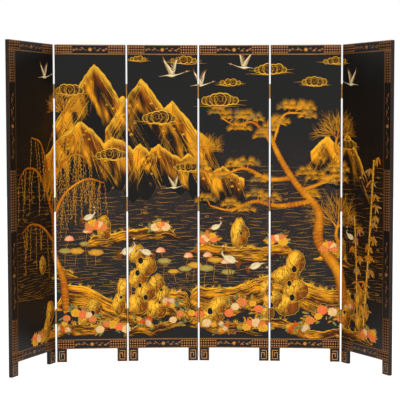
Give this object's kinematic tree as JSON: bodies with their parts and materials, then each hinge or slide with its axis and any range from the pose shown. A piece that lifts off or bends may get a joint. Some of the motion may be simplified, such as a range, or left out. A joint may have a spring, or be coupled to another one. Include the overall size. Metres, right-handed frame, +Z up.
{
  "type": "folding lacquer screen",
  "caption": "Folding black lacquer screen: tall slab boards on cut-out feet, joined by two-way brass hinges, standing in a shallow curve with the end boards folded forward.",
  "frame": {"origin": "on the floor, under the middle of the standing screen's box", "axes": "+Z up, painted front towards -Y, +X to the right seen from the front"},
  "size_m": [2.0894, 0.4368, 1.829],
  "materials": {
    "black_lacquer": "black lacquer over wood, satin gloss, with gold and copper painted decoration on the front",
    "hinge_brass": "aged brass, satin"
  },
  "bodies": {
    "panel_1": {"panel_1_board": "black_lacquer", "hinge_12_top_front_leaf": "hinge_brass", "hinge_12_middle_front_leaf": "hinge_brass", "hinge_12_bottom_front_leaf": "hinge_brass"},
    "panel_2": {"panel_2_board": "black_lacquer", "hinge_12_top_back_leaf": "hinge_brass", "hinge_12_middle_back_leaf": "hinge_brass", "hinge_12_bottom_back_leaf": "hinge_brass", "hinge_23_top_front_leaf": "hinge_brass", "hinge_23_middle_front_leaf": "hinge_brass", "hinge_23_bottom_front_leaf": "hinge_brass"},
    "panel_3": {"panel_3_board": "black_lacquer", "hinge_23_top_back_leaf": "hinge_brass", "hinge_23_middle_back_leaf": "hinge_brass", "hinge_23_bottom_back_leaf": "hinge_brass", "hinge_34_top_front_leaf": "hinge_brass", "hinge_34_middle_front_leaf": "hinge_brass", "hinge_34_bottom_front_leaf": "hinge_brass"},
    "panel_4": {"panel_4_board": "black_lacquer", "hinge_34_top_back_leaf": "hinge_brass", "hinge_34_middle_back_leaf": "hinge_brass", "hinge_34_bottom_back_leaf": "hinge_brass", "hinge_45_top_front_leaf": "hinge_brass", "hinge_45_middle_front_leaf": "hinge_brass", "hinge_45_bottom_front_leaf": "hinge_brass"},
    "panel_5": {"panel_5_board": "black_lacquer", "hinge_45_top_back_leaf": "hinge_brass", "hinge_45_middle_back_leaf": "hinge_brass", "hinge_45_bottom_back_leaf": "hinge_brass", "hinge_56_top_front_leaf": "hinge_brass", "hinge_56_middle_front_leaf": "hinge_brass", "hinge_56_bottom_front_leaf": "hinge_brass"},
    "panel_6": {"panel_6_board": "black_lacquer", "hinge_56_top_back_leaf": "hinge_brass", "hinge_56_middle_back_leaf": "hinge_brass", "hinge_56_bottom_back_leaf": "hinge_brass"},
    "link_12": {"hinge_12_top_web": "hinge_brass", "hinge_12_middle_web": "hinge_brass", "hinge_12_bottom_web": "hinge_brass"},
    "link_23": {"hinge_23_top_web": "hinge_brass", "hinge_23_middle_web": "hinge_brass", "hinge_23_bottom_web": "hinge_brass"},
    "link_34": {"hinge_34_top_web": "hinge_brass", "hinge_34_middle_web": "hinge_brass", "hinge_34_bottom_web": "hinge_brass"},
    "link_45": {"hinge_45_top_web": "hinge_brass", "hinge_45_middle_web": "hinge_brass", "hinge_45_bottom_web": "hinge_brass"},
    "link_56": {"hinge_56_top_web": "hinge_brass", "hinge_56_middle_web": "hinge_brass", "hinge_56_bottom_web": "hinge_brass"}
  },
  "joints": [
    {"name": "fold_34_front", "type": "hinge", "parent": "panel_3", "child": "link_34", "pos_m": [-0.02377, 0.18954, 0.9145], "axis": [0, 0, -1], "range_deg": [0, 176]},
    {"name": "fold_34_back", "type": "hinge", "parent": "link_34", "child": "panel_4", "pos_m": [-0.0229, 0.21453, 0.9145], "axis": [0, 0, -1], "range_deg": [-180, 0]},
    {"name": "fold_45_front", "type": "hinge", "parent": "panel_4", "child": "link_45", "pos_m": [0.38748, 0.17518, 0.9145], "axis": [0, 0, 1], "range_deg": [-148, 2]},
    {"name": "fold_45_back", "type": "hinge", "parent": "link_45", "child": "panel_5", "pos_m": [0.38922, 0.20012, 0.9145], "axis": [0, 0, 1], "range_deg": [0, 180]},
    {"name": "fold_56_front", "type": "hinge", "parent": "panel_5", "child": "link_56", "pos_m": [0.79797, 0.14648, 0.9145], "axis": [0, 0, -1], "range_deg": [-52, 128]},
    {"name": "fold_56_back", "type": "hinge", "parent": "link_56", "child": "panel_6", "pos_m": [0.8187, 0.16046, 0.9145], "axis": [0, 0, -1], "range_deg": [-180, 0]},
    {"name": "fold_23_back", "type": "hinge", "parent": "panel_3", "child": "link_23", "pos_m": [-0.4359, 0.20017, 0.9145], "axis": [0, 0, -1], "range_deg": [0, 180]},
    {"name": "fold_23_front", "type": "hinge", "parent": "link_23", "child": "panel_2", "pos_m": [-0.43502, 0.17518, 0.9145], "axis": [0, 0, -1], "range_deg": [-144, 2]},
    {"name": "fold_12_back", "type": "hinge", "parent": "panel_2", "child": "link_12", "pos_m": [-0.84726, 0.17142, 0.9145], "axis": [0, 0, 1], "range_deg": [-180, 0]},
    {"name": "fold_12_front", "type": "hinge", "parent": "link_12", "child": "panel_1", "pos_m": [-0.84552, 0.14648, 0.9145], "axis": [0, 0, 1], "range_deg": [-60, 120]}
  ],
  "couplings": [
    {"joint": "fold_23_back", "follows": "fold_34_front", "ratio": 1.0227},
    {"joint": "fold_45_back", "follows": "fold_34_front", "ratio": 1.0227}
  ]
}
